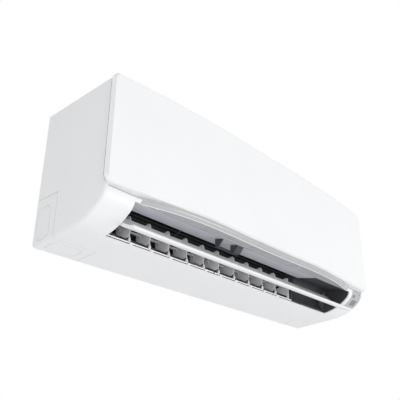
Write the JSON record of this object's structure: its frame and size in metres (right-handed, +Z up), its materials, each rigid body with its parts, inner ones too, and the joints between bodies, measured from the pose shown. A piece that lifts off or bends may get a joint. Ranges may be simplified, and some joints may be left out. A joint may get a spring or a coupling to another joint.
{
  "type": "mini split indoor unit",
  "caption": "Wall-hung split air conditioner indoor unit with a bowed lift-up front panel, open air flap, swinging vanes and a folded wall plate.",
  "frame": {"origin": "centre of the wall plate's back face, level with the unit's mid-height", "axes": "+X along the unit to its right seen from the front, +Y into the wall, +Z up"},
  "size_m": [0.914, 0.245, 0.3],
  "materials": {
    "casing_white": "fine satin moulding",
    "panel_white": "smooth, slightly glossy",
    "chassis_charcoal": "matt charcoal moulding",
    "duct_grey": "matt blue-grey moulding",
    "vane_white": "satin white",
    "fin_aluminium": "rolled fins",
    "galvanised_steel": "zinc coated sheet",
    "copper_tube": "drawn copper",
    "brass_fitting": "machined brass",
    "motor_case": "plated steel can",
    "black_rubber": "matt rubber",
    "fan_grey": "glass filled plastic",
    "board_green": "solder mask",
    "display_grey": "smooth window moulding",
    "lens_smoke": "tinted clear plastic",
    "lamp_clear": "clear lamp caps",
    "filter_plastic": "fine woven mesh in a moulded frame",
    "screw_steel": "zinc plated"
  },
  "bodies": {
    "unit": {"casing_screws": "screw_steel", "coil_end_plates": "galvanised_steel", "coil_front": "fin_aluminium", "coil_rear": "fin_aluminium", "coil_return_bends": "copper_tube", "coil_sensor": "copper_tube", "coil_top": "fin_aluminium", "control_board": "board_green", "control_box": "chassis_charcoal", "control_box_cover": "galvanised_steel", "cord_clamp": "fan_grey", "display_board": "board_green", "display_cover": "display_grey", "drain_cap": "black_rubber", "drain_pan": "duct_grey", "drain_spout": "chassis_charcoal", "duct_brace": "chassis_charcoal", "duct_end_flare": "chassis_charcoal", "fan_bearing": "black_rubber", "fan_motor": "motor_case", "flap_motor": "motor_case", "front_casing": "casing_white", "gas_pipe": "copper_tube", "gas_union": "brass_fitting", "left_filter": "filter_plastic", "left_pipe_cover": "casing_white", "liquid_pipe": "copper_tube", "liquid_union": "brass_fitting", "motor_clamp": "chassis_charcoal", "rear_housing": "chassis_charcoal", "receiver_lens": "lens_smoke", "right_filter": "filter_plastic", "right_pipe_cover": "casing_white", "status_lamps": "lamp_clear", "terminal_block": "fan_grey", "vane_base_left": "vane_white", "vane_base_right": "vane_white", "vane_motor_left": "motor_case", "vane_motor_right": "motor_case", "wall_plate": "galvanised_steel"},
    "front_panel": {"front_panel": "panel_white"},
    "flap": {"main_flap": "casing_white"},
    "fan": {"crossflow_fan": "fan_grey", "fan_shaft": "screw_steel"},
    "button": {"manual_button": "vane_white"},
    "link_left": {"vane_link_left": "vane_white"},
    "link_right": {"vane_link_right": "vane_white"},
    "vane_1": {"vane_1": "vane_white"},
    "vane_2": {"vane_2": "vane_white"},
    "vane_3": {"vane_3": "vane_white"},
    "vane_4": {"vane_4": "vane_white"},
    "vane_5": {"vane_5": "vane_white"},
    "vane_6": {"vane_6": "vane_white"},
    "vane_7": {"vane_7": "vane_white"},
    "vane_8": {"vane_8": "vane_white"},
    "vane_9": {"vane_9": "vane_white"},
    "vane_10": {"vane_10": "vane_white"}
  },
  "joints": [
    {"name": "panel_hinge", "type": "hinge", "parent": "unit", "child": "front_panel", "pos_m": [0, -0.213, 0.141], "axis": [-1, 0, 0], "range_deg": [0, 60]},
    {"name": "flap_tilt", "type": "hinge", "parent": "unit", "child": "flap", "pos_m": [0, -0.1725, -0.125], "axis": [1, 0, 0], "range_deg": [-59, 10]},
    {"name": "fan_spin", "type": "hinge", "parent": "unit", "child": "fan", "pos_m": [0, -0.095, -0.022], "axis": [1, 0, 0], "continuous": true},
    {"name": "button_press", "type": "slide", "parent": "unit", "child": "button", "axis": [0, 1, 0], "range_m": [0, 0.0015], "stiffness_N_per_m": 400},
    {"name": "vane_1_swing", "type": "hinge", "parent": "unit", "child": "vane_1", "pos_m": [-0.313, -0.122, -0.127], "axis": [0, 0, 1], "range_deg": [-30, 30]},
    {"name": "vane_2_swing", "type": "hinge", "parent": "unit", "child": "vane_2", "pos_m": [-0.259, -0.122, -0.127], "axis": [0, 0, 1], "range_deg": [-30, 30]},
    {"name": "vane_3_swing", "type": "hinge", "parent": "unit", "child": "vane_3", "pos_m": [-0.205, -0.122, -0.127], "axis": [0, 0, 1], "range_deg": [-30, 30]},
    {"name": "vane_4_swing", "type": "hinge", "parent": "unit", "child": "vane_4", "pos_m": [-0.151, -0.122, -0.127], "axis": [0, 0, 1], "range_deg": [-30, 30]},
    {"name": "vane_5_swing", "type": "hinge", "parent": "unit", "child": "vane_5", "pos_m": [-0.097, -0.122, -0.127], "axis": [0, 0, 1], "range_deg": [-30, 30]},
    {"name": "vane_6_swing", "type": "hinge", "parent": "unit", "child": "vane_6", "pos_m": [-0.047, -0.122, -0.127], "axis": [0, 0, 1], "range_deg": [-30, 30]},
    {"name": "vane_7_swing", "type": "hinge", "parent": "unit", "child": "vane_7", "pos_m": [0.007, -0.122, -0.127], "axis": [0, 0, 1], "range_deg": [-30, 30]},
    {"name": "vane_8_swing", "type": "hinge", "parent": "unit", "child": "vane_8", "pos_m": [0.061, -0.122, -0.127], "axis": [0, 0, 1], "range_deg": [-30, 30]},
    {"name": "vane_9_swing", "type": "hinge", "parent": "unit", "child": "vane_9", "pos_m": [0.115, -0.122, -0.127], "axis": [0, 0, 1], "range_deg": [-30, 30]},
    {"name": "vane_10_swing", "type": "hinge", "parent": "unit", "child": "vane_10", "pos_m": [0.169, -0.122, -0.127], "axis": [0, 0, 1], "range_deg": [-30, 30]},
    {"name": "link_left_turn", "type": "hinge", "parent": "vane_1", "child": "link_left", "pos_m": [-0.313, -0.092, -0.094], "axis": [0, 0, 1], "range_deg": [-30, 30]},
    {"name": "link_right_turn", "type": "hinge", "parent": "vane_6", "child": "link_right", "pos_m": [-0.047, -0.092, -0.094], "axis": [0, 0, 1], "range_deg": [-30, 30]}
  ],
  "couplings": [
    {"joint": "vane_2_swing", "follows": "vane_1_swing", "ratio": 1},
    {"joint": "vane_3_swing", "follows": "vane_1_swing", "ratio": 1},
    {"joint": "vane_4_swing", "follows": "vane_1_swing", "ratio": 1},
    {"joint": "vane_5_swing", "follows": "vane_1_swing", "ratio": 1},
    {"joint": "vane_7_swing", "follows": "vane_6_swing", "ratio": 1},
    {"joint": "vane_8_swing", "follows": "vane_6_swing", "ratio": 1},
    {"joint": "vane_9_swing", "follows": "vane_6_swing", "ratio": 1},
    {"joint": "vane_10_swing", "follows": "vane_6_swing", "ratio": 1},
    {"joint": "link_left_turn", "follows": "vane_1_swing", "ratio": -1},
    {"joint": "link_right_turn", "follows": "vane_6_swing", "ratio": -1}
  ]
}
